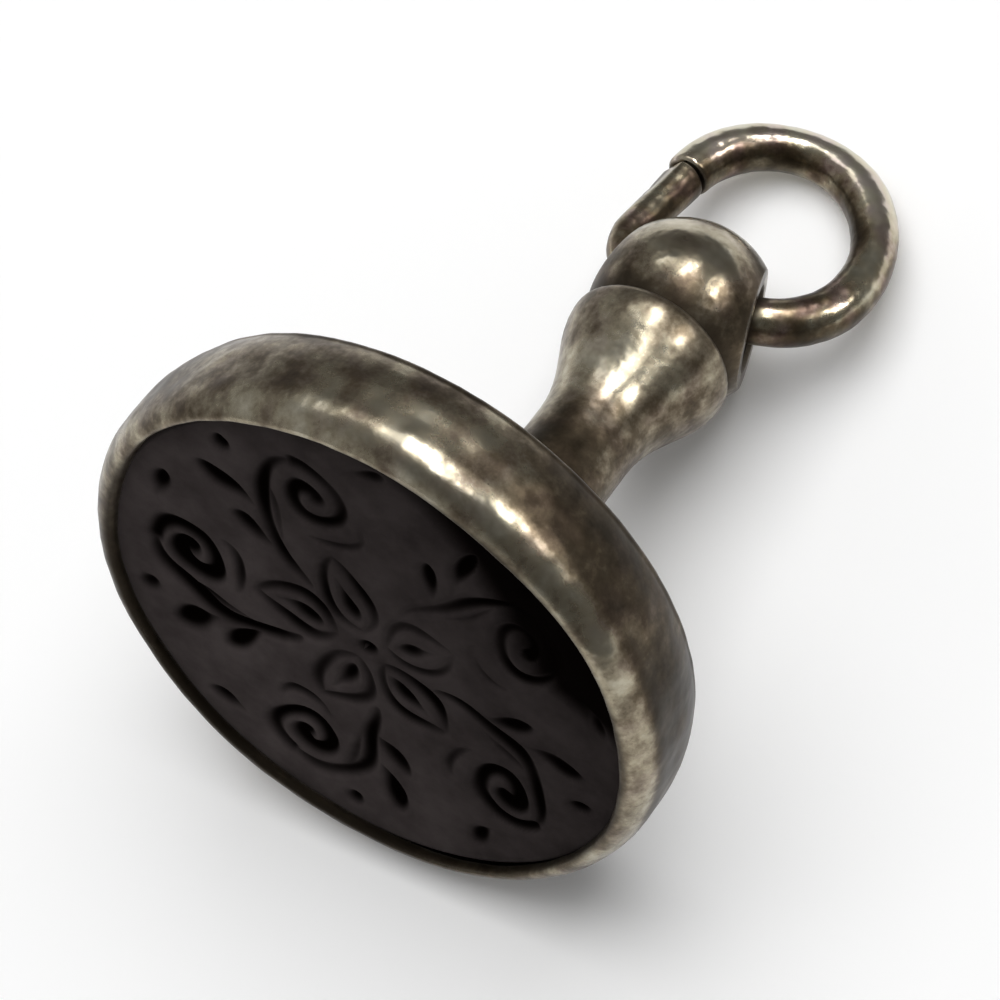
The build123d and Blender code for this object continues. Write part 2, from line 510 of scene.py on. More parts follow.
def ring_dirt_and_shade(tree, place):
    """Dirt between the ring's two ends, and dirt with painted shade where the wire goes into its hole."""
    apart = coordinates(tree, place)
    joint = band(tree, apart["Z"], RING_JOINT_HEIGHT_MM, JOINT_GRIME_MM)
    joint = times(tree, joint, map_range(tree, apart["X"], *JOINT_SIDE_MM))
    from_middle = math_node(tree, "ABSOLUTE", minus(tree, apart["X"], RING_PIVOT_MM[0]))
    low = map_range(tree, apart["Z"], *HOLE_HEIGHT_MM)
    in_hole = times(tree, map_range(tree, from_middle, *HOLE_DEPTH_MM), low)
    return largest(tree, joint, in_hole)


def cup_tarnish_and_shading(tree, place):
    """Tarnish on the head's back, and painted shade on its ends and lip towards the table; the upper
    shoulder is lighter with wear and a painted sheen.
    """
    apart = coordinates(tree, place)
    on_lip = map_range(tree, apart["Z"], *CUP_LIP_HEIGHT_MM)
    off_lip = map_range(tree, apart["Z"], *reversed(CUP_LIP_HEIGHT_MM))
    towards_table = vector_node(tree, "DOT_PRODUCT", place, CUP_LOW_WAY)["Value"]
    low_half = map_range(tree, towards_table, *CUP_LOW_MM)
    # Painted shade for dark reflections on the lip towards the table and on both ends
    low_lip = times(tree, times(tree, low_half, on_lip), CUP_LIP_SHARE)
    right_end = times(tree, map_range(tree, apart["X"], *CUP_RIGHT_MM), off_lip)
    left_end = times(tree, map_range(tree, apart["X"], *CUP_LEFT_MM), CUP_LEFT_SHARE)
    back = times(tree, map_range(tree, apart["Z"], *CUP_BACK_HEIGHT_MM), CUP_BACK_SHARE)
    dark = largest(tree, right_end, low_lip, left_end, back)
    # Lighter upper shoulder: wear and a painted sheen
    worn = band(tree, apart["Z"], CUP_WEAR_AND_SHEEN_HEIGHT_MM, CUP_WEAR_AND_SHEEN_REACH_MM)
    worn = times(tree, worn, minus(tree, 1.0, low_half))
    return minus(tree, dark, times(tree, worn, CUP_WEAR_AND_SHEEN_SHARE))


def stem_tarnish_and_shade(tree, place):
    """Tarnish and a painted shadow of the head on the neck towards the foot, heavier in front."""
    # Painted shadow of the head on the neck, with tarnish, more in front
    neck = map_range(tree, coordinates(tree, place)["Z"], *NECK_HEIGHT_MM)
    front = map_range(tree, distance_along(tree, place, NECK_FRONT_WAY), *NECK_FRONT_MM)
    share = plus(tree, times(tree, front, NECK_FRONT_SHARE), NECK_SHARE)
    return times(tree, neck, share)


def knob_tone_and_shading(tree, place):
    """Darker on the knob's right flat and near its seat, with painted shade on its left side; its top is
    lighter with a painted sheen.
    """
    apart = coordinates(tree, place)
    flat = map_range(tree, apart["X"], *KNOB_FLAT_MM)
    low = map_range(tree, apart["Z"], *KNOB_LOW_HEIGHT_MM)
    # Painted shade on the left side and a painted sheen on the top
    left = map_range(tree, distance_along(tree, place, KNOB_LEFT_WAY), *KNOB_LEFT_MM)
    dark = largest(tree, flat, low, times(tree, left, KNOB_LEFT_SHARE))
    top = map_range(tree, distance_along(tree, place, KNOB_TOP_WAY), *KNOB_TOP_MM)
    return minus(tree, dark, times(tree, top, KNOB_TOP_SHARE))


def ring_tone_and_shading(tree, place):
    """Darker low down and on the left leg, with painted shade on the ring's inner and outer sides; its top
    is lighter with a painted sheen.
    """
    apart = coordinates(tree, place)
    facing = add(tree, "Attribute", attribute_name="inner_side").outputs["Fac"]
    low = times(tree, map_range(tree, apart["Z"], *RING_LOW_HEIGHT_MM), RING_LOW_SHARE)
    left = times(tree, map_range(tree, apart["X"], *RING_LEFT_MM), RING_LEFT_SHARE)
    # Painted shade for dark reflections on the inner and outer sides
    inner = map_range(tree, facing, *RING_INNER)
    outer = times(tree, map_range(tree, facing, *RING_OUTER), RING_OUTER_SHARE)
    dark = largest(tree, low, left, inner, outer)
    # Painted sheen on the top
    top = times(tree, map_range(tree, apart["Z"], *RING_TOP_HEIGHT_MM), RING_TOP_SHARE)
    top = times(tree, top, map_range(tree, facing, *RING_TOP_SIDE))
    return minus(tree, dark, top)


# Finish of each silver piece: offset of its pattern, where it has dirt and painted crease shade, where and
# how much it is tarnished and painted darker and lighter, how much lighter and more tinted it is, depths of
# its bumps in millimetres, and its roughness when dull and bright
FINISHES = {
    "bezel_cup": {
        "offset": (3.0, 7.0, 1.0), "dirt_and_shade_of": cup_dirt_and_shade, "tarnish_and_shading_of": cup_tarnish_and_shading, "tarnish_and_shading": 0.235,
        "lift": -0.015, "tint": 0.10, "waves": 0.02, "dents": 0.012, "pits": 0.008,
        "dull": 0.38, "bright": 0.21,
    },
    "stem": {
        "offset": (13.0, 2.0, 5.0), "dirt_and_shade_of": stem_dirt_and_shade, "tarnish_and_shading_of": stem_tarnish_and_shade, "tarnish_and_shading": 0.13,
        "lift": -0.005, "tint": 0.10, "waves": 0.05, "dents": 0.015, "pits": 0.013,
        "dull": 0.40, "bright": 0.24,
    },
    "knob": {
        "offset": (21.0, 9.0, 4.0), "dirt_and_shade_of": knob_dirt_and_shade, "tarnish_and_shading_of": knob_tone_and_shading, "tarnish_and_shading": 0.13,
        "lift": 0.005, "tint": 0.10, "waves": 0.05, "dents": 0.014, "pits": 0.014,
        "dull": 0.34, "bright": 0.18,
    },
    "jump_ring": {
        "offset": (5.0, 31.0, 8.0), "dirt_and_shade_of": ring_dirt_and_shade, "tarnish_and_shading_of": ring_tone_and_shading, "tarnish_and_shading": 0.22,
        "lift": 0.095, "tint": 0.40, "waves": 0.03, "dents": 0.022, "pits": 0.022,
        "dull": 0.36, "bright": 0.22,
    },
}


def silver_colour(tree, place, patina_and_shading, dirt_and_shade, tint):
    """The colour of the patina with its painted shade and sheen, faintly tinted, worn bright along edges
    and dark where dirt and painted crease shade lie.
    """
    colour = ramp(tree, patina_and_shading, PATINA_COLOURS)
    tinted = ramp(tree, noise(tree, place, *TINTING), TINT_COLOURS)
    colour = mix_colour(tree, tint, colour, tinted, "SOFT_LIGHT")
    worn = times(tree, edge_mask(tree, WORN_EDGE_MM), WORN_SHARE)
    colour = mix_colour(tree, worn, colour, WORN_COLOUR)
    return mix_colour(tree, dirt_and_shade, colour, DIRT_AND_SHADE_COLOUR)


def silver_bumps(tree, place, clouds, finish):
    """The normal with soft waves, hammer dents and small pits, one over another."""
    dents = noise(tree, place, *HAMMERING)
    pits = noise(tree, place, *PITTING)
    under = {}
    for pattern, depth_mm in ((clouds, finish["waves"]), (dents, finish["dents"]), (pits, finish["pits"])):
        bump = add(tree, "Bump", {"Height": pattern, "Distance": depth_mm * MM, **under})
        under = {"Normal": bump.outputs["Normal"]}
    return under["Normal"]


def silver_material(node):
    """Tarnished silver: cloudy brown patina over worn metal, with painted shade and sheen in places and
    small dents that break the highlights.
    """
    finish = FINISHES[node]
    material, tree, shader = new_material(node + "_silver")
    true_place = millimetres(tree)
    place = millimetres(tree, finish["offset"])
    clouds = noise(tree, place, *CLOUDS)
    mottle = noise(tree, place, *MOTTLE)
    grain = noise(tree, place, *GRAIN)
    # Tarnish with painted shade and sheen, from the piece's own function
    patina_and_shading = times(tree, finish["tarnish_and_shading_of"](tree, true_place), -finish["tarnish_and_shading"])
    patina_and_shading = plus(tree, patina_and_shading, finish["lift"])
    for pattern, share in zip((clouds, mottle, grain), PATINA_SHARES):
        patina_and_shading = plus(tree, patina_and_shading, times(tree, pattern, share))
    # Dirt, with painted shade in creases and hollows
    dirt_and_shade = times(tree, finish["dirt_and_shade_of"](tree, true_place), map_range(tree, mottle, *DIRT_AND_SHADE_MOTTLE))
    dirt_and_shade = times(tree, dirt_and_shade, DIRT_AND_SHADE_SHARE)
    colour = silver_colour(tree, place, patina_and_shading, dirt_and_shade, finish["tint"])
    tree.links.new(colour, shader.inputs["Base Color"])
    rough = ramp(tree, patina_and_shading, [(DULL_PATINA, finish["dull"]), (BRIGHT_PATINA, finish["bright"])])
    rough = plus(tree, rough, times(tree, dirt_and_shade, GRIME_ROUGHNESS))
    tree.links.new(rough, shader.inputs["Roughness"])
    tree.links.new(silver_bumps(tree, place, clouds, finish), shader.inputs["Normal"])
    shader.inputs["Metallic"].default_value = 1.0
    return material


def stone_material():
    """Dark purplish-grey hardstone with dirt in its grooves, and a painted shadow and shade on its side by
    the lip.
    """
    material, tree, shader = new_material("matrix_stone_engraved")
    place = millimetres(tree)
    colour = ramp(tree, noise(tree, place, *STONE_CLOUDS), STONE_COLOURS)
    # Dirt in the grooves, and painted shadow and shade on the face's side by the lip
    dirt_and_shade = add(tree, "Attribute", attribute_name="dirt_and_shade").outputs["Fac"]
    colour = mix_colour(tree, dirt_and_shade, colour, STONE_DIRT_AND_SHADE_COLOUR)
    tree.links.new(colour, shader.inputs["Base Color"])
    rough = ramp(tree, noise(tree, place, STONE_GLOSS_SCALE), STONE_ROUGHNESS)
    rough = plus(tree, rough, times(tree, dirt_and_shade, GRIME_ROUGHNESS))
    tree.links.new(rough, shader.inputs["Roughness"])
    shader.inputs["Specular IOR Level"].default_value = 0.0
    bump = add(tree, "Bump", {
        "Height": noise(tree, place, STONE_GRAIN_SCALE),
        "Strength": STONE_GRAIN_STRENGTH,
        "Distance": STONE_GRAIN_MM * MM,
    })
    tree.links.new(bump.outputs["Normal"], shader.inputs["Normal"])
    return material


def pitch_material():
    """Brown-black setting pitch."""
    material, tree, shader = new_material("setting_pitch_dark")
    colour = ramp(tree, noise(tree, millimetres(tree), PITCH_SCALE), PITCH_COLOURS)
    tree.links.new(colour, shader.inputs["Base Color"])
    shader.inputs["Roughness"].default_value = PITCH_ROUGHNESS
    return material


def dress_nodes():
    """Give every CAD node that stays its material."""
    for node in ("stem", "knob"):
        frame["nodes"][node].material_slots[0].material = silver_material(node)
    frame["nodes"]["setting_pitch"].material_slots[0].material = pitch_material()


def new_piece(name, points_mm, faces, material):
    """A smooth mesh piece from points in millimetres."""
    mesh = bpy.data.meshes.new(name)
    mesh.from_pydata([Vector(point) * MM for point in points_mm], [], faces)
    mesh.shade_smooth()
    mesh.materials.append(material)
    piece = bpy.data.objects.new(name, mesh)
    bpy.context.scene.collection.objects.link(piece)
    return piece


def write_attribute(piece, name, values):
    """Store one number per point of a piece, for its material to read."""
    attribute = piece.data.attributes.new(name, "FLOAT", "POINT")
    attribute.data.foreach_set("value", values.astype(np.float32))


def sleeve_faces(rows, steps):
    """Faces between rows of points that go round an axis, with both end rows closed."""
    faces = [tuple(range(steps - 1, -1, -1))]
    for row in range(rows - 1):
        low, high = row * steps, (row + 1) * steps
        for step in range(steps):
            after = (step + 1) % steps
            faces.append((low + step, low + after, high + after, high + step))
    last = (rows - 1) * steps
    faces.append(tuple(last + step for step in range(steps)))
    return faces


def smooth_step(value):
    """0 below 0, 1 above 1, and a smooth step between them."""
    t = np.clip(value, 0, 1)
    return t * t * (3 - 2 * t)


def lumps(place, rates):
    """Solid noise about 0: coarse lumps with finer ones on them."""
    coarse, fine, fine_share = rates
    return solid_noise.noise(place * coarse) + fine_share * solid_noise.noise(place * fine)


def sway(angle, waves):
    """A sum of waves round an axis."""
    return sum(share * np.sin(count * angle + phase) for share, count, phase in waves)


def ripple(x, y, wave):
    """A straight wave over the face."""
    across, up, phase = wave
    return np.sin(across * x + up * y + phase)


def head_section():
    """Radii and heights round the head's section, from the pocket's floor over the lip to the back."""
    pocket = [(POCKET_MM, FLOOR_MM), (POCKET_MM, LIP_UNDER_MM), (LIP_OPENING_MM, FACE_RECESS_MM)]
    crest_radius = LIP_OPENING_MM + LIP_CREST_MM
    roll = np.linspace(-np.pi, -np.pi / 2, ROLL_STEPS)[1:]
    inner = zip(crest_radius + LIP_CREST_MM * np.cos(roll), FACE_RECESS_MM * (1 + np.sin(roll)))
    turn = np.linspace(-np.pi / 2, 0, SHOULDER_STEPS)[1:]
    shoulder_width = HEAD_RADIUS_MM - crest_radius
    shoulder = zip(crest_radius + shoulder_width * np.cos(turn), SHOULDER_MM * (1 + np.sin(turn)))
    rise = np.linspace(SHOULDER_MM, HEAD_TOP_MM - BACK_EDGE_MM, SIDE_STEPS)[1:]
    bulge = np.clip((rise - WIDEST_MM) / (HEAD_TOP_MM - WIDEST_MM), 0, 1)
    side = list(zip(HEAD_RADIUS_MM - BACK_TAPER_MM * bulge ** 2, rise))
    edge_turn = np.linspace(0, np.pi / 2, BACK_EDGE_STEPS)[1:]
    edge_radius = side[-1][0] - BACK_EDGE_MM
    edge = zip(edge_radius + BACK_EDGE_MM * np.cos(edge_turn), rise[-1] + BACK_EDGE_MM * np.sin(edge_turn))
    back = [(radius, HEAD_TOP_MM) for radius in np.linspace(edge_radius, BACK_INNER_MM, BACK_RINGS)[1:]]
    return np.array(pocket + list(inner) + list(shoulder) + side + list(edge) + back)


def back_dent(place):
    """How far the head's back is beaten in at a place; nothing under the stem's foot."""
    from_stem = math.hypot(place.x - RING_PIVOT_MM[0], place.y - RING_PIVOT_MM[1])
    clear = smooth_step((from_stem - FOOT_RADIUS_MM) / FOOT_FADE_MM)
    hollow = BACK_DENT_LEVEL * (1 + lumps(place, BACK_LUMPS))
    return BACK_DENT_MM * clear * max(0.0, hollow)


def head_points():
    """Rows of points of the worked head: its section turned round, uneven and dented."""
    section = head_section()
    back_radius = section[-BACK_RINGS][0]
    lip_width = HEAD_RADIUS_MM - LIP_OPENING_MM
    angle = np.linspace(0, 2 * np.pi, HEAD_STEPS, endpoint=False)
    rim_sway = sway(angle, RIM_WAVES)
    lip_sway = sway(angle, LIP_WAVES)
    points = []
    for row, (radius, height) in enumerate(section):
        shown = row >= POCKET_ROWS
        on_lip = max(0.0, 1 - (radius - LIP_OPENING_MM) / lip_width) if height <= SHOULDER_MM else 0.0
        on_back = smooth_step((back_radius - radius) / BACK_FADE_MM) if height == HEAD_TOP_MM else 0.0
        for turn, rim, lip in zip(angle, rim_sway, lip_sway):
            place = Vector((radius * math.cos(turn), radius * math.sin(turn), height))
            dent = HEAD_DENT_MM * abs(lumps(place, HEAD_LUMPS))
            inward = shown * (dent + RIM_INSET_MM - RIM_SWAY_MM * rim)
            inward += on_lip * LIP_SWAY_MM * lip
            kept = 1 - inward / radius
            sunk = on_back * back_dent(place)
            points.append((place.x * kept, place.y * kept, height - sunk))
    return points


def build_head():
    """The cup as worked by hand: a rolled lip of uneven width, a soft shoulder and shallow dents."""
    points = head_points()
    faces = sleeve_faces(len(points) // HEAD_STEPS, HEAD_STEPS)
    piece = new_piece("worked_head", points, faces, silver_material("bezel_cup"))
    piece.data.set_sharp_from_angle(angle=SHARP_EDGE)
    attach(piece, "seal")
    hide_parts("bezel_cup")


def bend(start, heading, radius, turn):
    """Points of an arc that leaves a start in a heading, as complex numbers; left turns are positive."""
    turned = np.linspace(0, turn, int(abs(turn) * radius / RING_SPACING_MM) + 1)[1:]
    spoke = 1j * np.sign(turn) * radius
    return start + spoke * np.exp(1j * heading) - spoke * np.exp(1j * (heading + turned))


def run(start, end):
    """Points of a straight run, after its start."""
    return np.linspace(start, end, int(abs(end - start) / RING_SPACING_MM) + 1)[1:]


def ring_path():
    """The wire's middle line, as x + iz, from its left end through the hole and over the top."""
    pivot = complex(RING_PIVOT_MM[0], RING_PIVOT_MM[2])
    bar_start = -BAR_LEFT_MM * np.exp(1j * BAR_TILT)
    bar_end = BAR_RIGHT_MM * np.exp(1j * BAR_TILT)
    hook = bend(bar_start, BAR_TILT + np.pi, HOOK_RADIUS_MM, -HOOK_TURN)
    leg = run(hook[-1], complex(*LEG_END_MM) - pivot)
    stretches = [leg[::-1], hook[::-1], np.array([bar_start]), run(bar_start, bar_end)]
    heading = BAR_TILT
    for radius, turn in RIGHT_BENDS:
        stretches.append(bend(stretches[-1][-1], heading, radius, math.radians(turn)))
        heading += math.radians(turn)
    return np.concatenate(stretches) + pivot


def wire_point(centre, inward, wire, cut, turn):
    """A point of the wire's skin, at a turn from its inner side, with the facet filed and small dents."""
    inwards, sideways = wire * math.cos(turn), wire * math.sin(turn)
    outward = -inwards * math.cos(FACET_TURN) - sideways * math.sin(FACET_TURN)
    shaved = max(0.0, outward - wire + cut) * (cut > 0)
    inwards += shaved * math.cos(FACET_TURN)
    sideways += shaved * math.sin(FACET_TURN)
    flat = centre + inward * inwards
    place = Vector((flat.real, RING_PIVOT_MM[1] + sideways, flat.imag))
    hub = Vector((centre.real, RING_PIVOT_MM[1], centre.imag))
    dent = RING_DENT_MM * abs(lumps(place, RING_LUMPS))
    return place + (hub - place).normalized() * dent


def build_ring():
    """The jump ring as worked by hand: uneven wire, thinner on the left leg, with a flat at its end."""
    path = ring_path()
    tangent = np.gradient(path)
    inward = 1j * tangent / np.abs(tangent)
    travelled = np.concatenate(([0.0], np.cumsum(np.abs(np.diff(path)))))
    thin = WIRE_THINNING * np.exp(-((travelled - THIN_MIDDLE_MM) / THIN_REACH_MM) ** 4)
    middle = path + inward * WIRE_MM * thin
    uneven = 1 - WIRE_SWAY + WIRE_SWAY * np.sin(WIRE_SWAY_RATE * travelled + WIRE_SWAY_PHASE)
    from_end = np.minimum(travelled, travelled[-1] - travelled)
    rounded = 1 - WIRE_END_ROUNDING * np.clip(1 - from_end / WIRE_END_MM, 0, 1) ** 2
    radius = WIRE_MM * (1 - thin) * uneven * rounded
    facet = FACET_DEPTH_MM * np.clip(1 - travelled / FACET_MM, 0, 1)
    turns = np.linspace(0, 2 * np.pi, RING_SIDES, endpoint=False)
    points = []
    for centre, towards, wire, cut in zip(middle, inward, radius, facet):
        points += [wire_point(centre, towards, wire, cut, turn) for turn in turns]
    faces = [face[::-1] for face in sleeve_faces(len(path), RING_SIDES)]
    piece = new_piece("worked_ring", points, faces, silver_material("jump_ring"))
    piece.data.set_sharp_from_angle(angle=SHARP_EDGE)
    write_attribute(piece, "inner_side", np.tile(np.cos(turns), len(path)))
    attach(piece, "ring")
    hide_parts("jump_ring")


def curve(start, first, second, end, width):
    """A stroke along a cubic curve: its points, and a half width that swells in the middle."""
    corners = np.array((start, first, second, end))
    length = np.linalg.norm(np.diff(corners, axis=0), axis=1).sum()
    t = np.linspace(0, 1, int(length / STROKE_SPACING_MM))[:, None]
    weights = np.hstack(((1 - t) ** 3, 3 * t * (1 - t) ** 2, 3 * t ** 2 * (1 - t), t ** 3))
    swell = np.sin(np.pi * t[:, 0]) ** CURVE_SWELL
    return weights @ corners, width * (CURVE_END_SHARE + (1 - CURVE_END_SHARE) * swell)


def curl(centre, radius, turns, width):
    """A stroke that winds inwards, anticlockwise, from the top of a circle."""
    turned = 2 * np.pi * turns
    angle = np.linspace(0, turned, int(turned * radius / STROKE_SPACING_MM)) + np.pi / 2
    share = np.linspace(0, 1, len(angle))
    shrunk = radius * (1 - CURL_SHRINK * share)
    points = np.stack((np.cos(angle), np.sin(angle)), axis=1) * shrunk[:, None] + centre
    return points, width * (CURL_START_SHARE + (1 - CURL_START_SHARE) * share)


def leaf(start, end, width):
    """A drop-shaped cut, fine at its start and broad near its end."""
    t = np.linspace(0, 1, int(math.dist(start, end) / STROKE_SPACING_MM) + 2)
    points = np.array(start) + (np.array(end) - np.array(start)) * t[:, None]
    swell = np.sin(np.pi * t ** LEAF_LEAN) ** LEAF_SWELL
    return points, width * (LEAF_END_SHARE + (1 - LEAF_END_SHARE) * swell)


def sector_strokes():
    """One sector of the rosette: a petal, a scroll on its stem, leaves, tendrils and a berry."""
    petal_right = curve((0.0, 0.8), (1.25, 1.5), (1.0, 2.9), (0.0, 3.7), 0.21)
    petal_left = curve((0.0, 0.8), (-1.25, 1.5), (-1.0, 2.9), (0.0, 3.7), 0.21)
    vein = leaf((0.0, 2.9), (0.0, 1.3), 0.24)
    scroll_stem = curve((1.35, 2.3), (2.5, 3.8), (2.6, 7.6), (0.2, 7.6), 0.25)
    scroll = curl((0.2, 6.25), 1.35, 1.2, 0.30)
    stem_tendril = curve((1.75, 4.0), (1.5, 5.2), (1.7, 5.9), (1.9, 6.6), 0.15)
    upper_leaf = leaf((2.5, 5.0), (4.0, 6.6), 0.31)
    lower_leaf = leaf((2.1, 3.6), (3.6, 4.6), 0.29)
    scroll_tendril = curve((-1.3, 5.1), (-1.2, 4.4), (-0.4, 4.1), (0.5, 4.5), 0.17)
    side_leaf = leaf((-1.7, 7.6), (-3.0, 7.7), 0.24)
    berry = leaf((2.6, 7.4), (2.9, 7.9), 0.24)
    return [
        petal_right, petal_left, vein, scroll_stem, scroll, stem_tendril,
        upper_leaf, lower_leaf, scroll_tendril, side_leaf, berry,
    ]


def motif():
    """Points and half widths of every cut of the rosette: the middle one, then sector by sector."""
    cuts = [leaf((-0.2, -0.1), (0.25, 0.1), 0.34)]
    strokes = sector_strokes()
    turn_sway, turn_rate = SECTOR_TURN_SWAY
    width_sway, width_rate = SECTOR_WIDTH_SWAY
    for number in range(MOTIF_SECTORS):
        turn = 2 * np.pi * number / MOTIF_SECTORS + turn_sway * np.sin(turn_rate * number)
        across, up = (np.cos(turn), np.sin(turn)), (-np.sin(turn), np.cos(turn))
        width_here = SECTOR_WIDTH + width_sway * np.sin(width_rate * number)
        for points, widths in strokes:
            wander = WANDER_MM * np.sin(WANDER_RATE * points[:, ::-1] + WANDER_STEP * number)
            cuts.append(((points + wander) @ np.array((across, up)), widths * width_here))
    return cuts


def groove_depths(x, y):
    """How deep the motif is cut at each place of the face, in millimetres."""
    across = np.cos(MOTIF_TURN) * x - np.sin(MOTIF_TURN) * y
    up = np.sin(MOTIF_TURN) * x + np.cos(MOTIF_TURN) * y
    across_sway = CUT_SWAY_MM * ripple(across, up, CUT_SWAY_ACROSS)
    up_sway = CUT_SWAY_MM * ripple(across, up, CUT_SWAY_UP)
    across, up = across + across_sway, up + up_sway
    depths = np.zeros_like(x)
    for points, widths in motif():
        low = points.min(axis=0) - GROOVE_REACH * widths.max()
        high = points.max(axis=0) + GROOVE_REACH * widths.max()
        near = (across > low[0]) & (across < high[0]) & (up > low[1]) & (up < high[1])
        gaps = (across[near, None] - points[:, 0]) ** 2 + (up[near, None] - points[:, 1]) ** 2
        shape = np.clip(1 - gaps / (GROOVE_REACH * widths) ** 2, 0, 1) ** 2
        cut = (GROOVE_SLOPE * widths * shape).max(axis=1)
        depths[near] = np.maximum(depths[near], cut)
    return np.minimum(depths, DEEPEST_GROOVE_MM)


def wear(x, y):
    """The share of a groove's depth that wear has left at each place of the face."""
    slow = ripple(x, y, WEAR_SLOW_ACROSS) * ripple(x, y, WEAR_SLOW_UP)
    return WEAR_LEVEL + WEAR_SLOW_SHARE * slow + WEAR_FAST_SHARE * ripple(x, y, WEAR_FAST)


def face_relief(x, y, face_radius):
    """How far the face is cut back at each place, in millimetres, and its groove dirt and painted shade
    from 0 to 1.
    """
    from_middle = np.hypot(x, y)
    turn = np.angle((x + 1j * y) * np.exp(-1j * MOAT_ANGLE))
    spread = np.where(turn > 0, *MOAT_SPREADS)
    moat_share = np.exp(-(turn / spread) ** 2)
    moat_start = face_radius - MOAT_WIDTH_MM * moat_share
    moat = smooth_step((from_middle - moat_start) / MOAT_EDGE_MM) * np.minimum(1, MOAT_FADE * moat_share)
    grooves = groove_depths(x, y) * wear(x, y)
    waves = sum(share * ripple(x, y, wave) for share, wave in FACE_WAVES)
    flat_rim = 1 - (from_middle / face_radius) ** 4
    depth = grooves + MOAT_DEPTH_MM * moat * moat_share + WAVE_MM * waves * flat_rim
    # Painted shade: the face darker towards the sunken side
    towards_moat = x * math.cos(MOAT_ANGLE) + y * math.sin(MOAT_ANGLE)
    shaded_side = SHADED_SIDE_SHARE * smooth_step((towards_moat - SHADED_SIDE_START_MM) / SHADED_SIDE_WIDTH_MM)
    in_grooves = smooth_step(grooves / (GROOVE_GRIME_SHARE * DEEPEST_GROOVE_MM))
    # Dark from groove dirt, and from the painted shadow and shade by the lip
    return depth, np.maximum(in_grooves, np.maximum(MOAT_PAINTED_SHADOW * moat, shaded_side))


def disc_faces(rings, steps):
    """Faces of a closed disc: a fan round its middle, rings of quads, and one face over the last ring."""
    faces = []
    for step in range(steps):
        after = (step + 1) % steps
        faces.append((0, 1 + after, 1 + step))
        for ring in range(rings - 1):
            inner, outer = 1 + ring * steps, 1 + (ring + 1) * steps
            faces.append((inner + step, inner + after, outer + after, outer + step))
    last = 1 + (rings - 1) * steps
    faces.append(tuple(last + step for step in range(steps)))
    return faces


def build_matrix():
    """The engraved stone in place of its plain CAD disc: same rim, bevel and back, with a cut face."""
    plain = np.array([vertex.co for vertex in frame["nodes"]["seal_matrix"].data.vertices]) / MM
    radii = np.hypot(plain[:, 0], plain[:, 1])
    face_height, back_height = plain[:, 2].min(), plain[:, 2].max()
    face_radius = radii[plain[:, 2] < face_height + NEAR_MM].max()
    rim_radius = radii.max()
    bevel_height = plain[radii > rim_radius - NEAR_MM, 2].min()

    ring = np.linspace(0, face_radius, FACE_RINGS + 1)[1:]
    angle = np.linspace(0, 2 * np.pi, FACE_STEPS, endpoint=False)
    x = np.outer(ring, np.cos(angle)).ravel()
    y = np.outer(ring, np.sin(angle)).ravel()
    depth, face_dirt_and_shade = face_relief(x, y, face_radius)
    points = [(0.0, 0.0, face_height)]
    points += list(zip(x, y, face_height + depth))
    for height in (bevel_height, back_height):
        points += [(rim_radius * math.cos(a), rim_radius * math.sin(a), height) for a in angle]
    # The stone's rim and back are dark; the face carries its groove dirt and painted shade
    dirt_and_shade = np.ones(len(points))
    dirt_and_shade[0] = 0.0
    dirt_and_shade[1:1 + len(face_dirt_and_shade)] = face_dirt_and_shade

    faces = disc_faces(FACE_RINGS + 2, FACE_STEPS)
    piece = new_piece("engraved_matrix", points, faces, stone_material())
    write_attribute(piece, "dirt_and_shade", dirt_and_shade)
    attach(piece, "seal")
    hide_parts("seal_matrix")


def table_material():
    """Plain white, a little lifted where it is seen or mirrored, and clear when seen from below."""
    material, tree, shader = new_material("table_white")
    shader.inputs["Base Color"].default_value = TABLE_COLOUR
    shader.inputs["Roughness"].default_value = TABLE_ROUGHNESS
    shader.inputs["Specular IOR Level"].default_value = TABLE_SPECULAR
    path = add(tree, "LightPath").outputs
    seen = path["Is Camera Ray"]
    shown = largest(tree, seen, path["Is Glossy Ray"])
    glow = add(tree, "Emission", {"Strength": times(tree, shown, TABLE_GLOW)})
    lit = add(tree, "AddShader", {0: shader.outputs["BSDF"], 1: glow.outputs[0]})
    clear = add(tree, "BsdfTransparent")
    hidden = times(tree, add(tree, "NewGeometry").outputs["Backfacing"], seen)
    mixed = add(tree, "MixShader", {0: hidden, 1: lit.outputs[0], 2: clear.outputs["BSDF"]})
    output = next(node for node in tree.nodes if node.type == "OUTPUT_MATERIAL")
    tree.links.new(mixed.outputs[0], output.inputs["Surface"])
    return material


def build_table(down):
    """A wide white table under the seal, seen only from above."""
    ground = reach("bezel_cup", down)
    centre = SEAL_MIDDLE + down * (ground - SEAL_MIDDLE.dot(down))
    across = down.orthogonal().normalized()
    lengthwise = down.cross(across)
    half = TABLE_SIZE / 2
    corners = []
    for i, j in ((-1, -1), (1, -1), (1, 1), (-1, 1)):
        corners.append(centre + across * (half * i) + lengthwise * (half * j))
    mesh = bpy.data.meshes.new("table")
    mesh.from_pydata(corners, [], [(0, 1, 2, 3)])
    if mesh.polygons[0].normal.dot(down) > 0:
        mesh.flip_normals()
    mesh.materials.append(table_material())
    table = bpy.data.objects.new("table", mesh)
    bpy.context.scene.collection.objects.link(table)


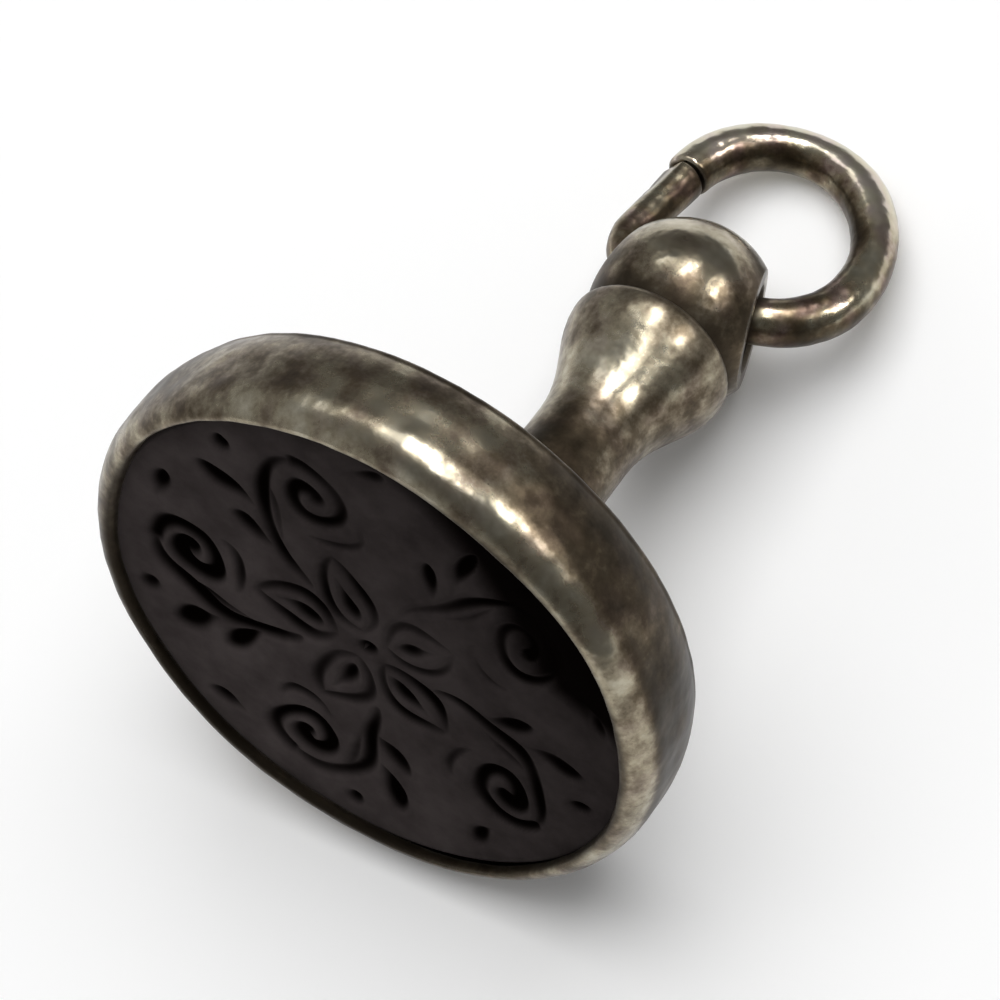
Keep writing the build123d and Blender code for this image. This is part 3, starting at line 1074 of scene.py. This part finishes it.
def build_camera():
    """The photograph's own camera."""
    right = Vector(CAMERA_RIGHT).normalized()
    forward = Vector(CAMERA_FORWARD).normalized()
    up = right.cross(forward)
    turn = Matrix((right, up, -forward)).transposed()
    data = bpy.data.cameras.new("camera")
    data.lens = CAMERA_LENS_MM
    data.sensor_width = CAMERA_SENSOR_MM
    data.clip_start = CAMERA_NEAR
    camera = bpy.data.objects.new("camera", data)
    camera.matrix_world = Matrix.Translation(Vector(CAMERA_PLACE_MM) * MM) @ turn.to_4x4()
    bpy.context.scene.collection.objects.link(camera)
    bpy.context.scene.camera = camera


def area_lamp(name, direction, distance, size, radiance):
    """A soft box of a given brightness, facing the seal."""
    data = bpy.data.lights.new(name, "AREA")
    data.shape = "RECTANGLE"
    data.size, data.size_y = size
    data.energy = radiance * math.pi * size[0] * size[1]
    lamp = bpy.data.objects.new(name, data)
    towards = Vector(direction).normalized()
    turn = towards.to_track_quat("Z", "Y").to_matrix().to_4x4()
    lamp.matrix_world = Matrix.Translation(SEAL_MIDDLE + towards * distance) @ turn
    bpy.context.scene.collection.objects.link(lamp)
    return lamp


def build_lamps(down, rightward):
    """Four window panes and a wide soft top light."""
    for name, (direction, size, radiance) in PANES.items():
        pane = area_lamp(name, direction, PANE_DISTANCE, size, radiance)
        pane.visible_diffuse = False
    forward = Vector(CAMERA_FORWARD)
    far = forward - down * down.dot(forward)
    overhead = -down + rightward * TOP_RIGHT + far.normalized() * TOP_FAR
    top = area_lamp("top_light", overhead, TOP_DISTANCE, TOP_SIZE, TOP_RADIANCE)
    top.visible_glossy = False


def build_room(rightward):
    """A dim room that is lighter on the left."""
    world = bpy.data.worlds.new("room")
    bpy.context.scene.world = world
    world.use_nodes = True
    tree = world.node_tree
    tree.nodes.clear()
    direction = add(tree, "TexCoord").outputs["Generated"]
    leftward = vector_node(tree, "DOT_PRODUCT", direction, -rightward.normalized())["Value"]
    share = map_range(tree, leftward, *ROOM_FADE)
    colour = ramp(tree, share, [(0.0, ROOM_DARK), (1.0, ROOM_LIGHT)])
    background = add(tree, "Background", {"Color": colour, "Strength": 1.0})
    output = add(tree, "OutputWorld")
    tree.links.new(background.outputs[0], output.inputs["Surface"])


def main():
    """Dress the part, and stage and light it."""
    dress_nodes()
    build_head()
    build_ring()
    build_matrix()
    down = table_down()
    build_table(down)
    build_camera()
    right = Vector(CAMERA_RIGHT)
    rightward = right - down * down.dot(right)
    build_lamps(down, rightward)
    build_room(rightward)
    bpy.context.scene.view_settings.view_transform = "Standard"


main()
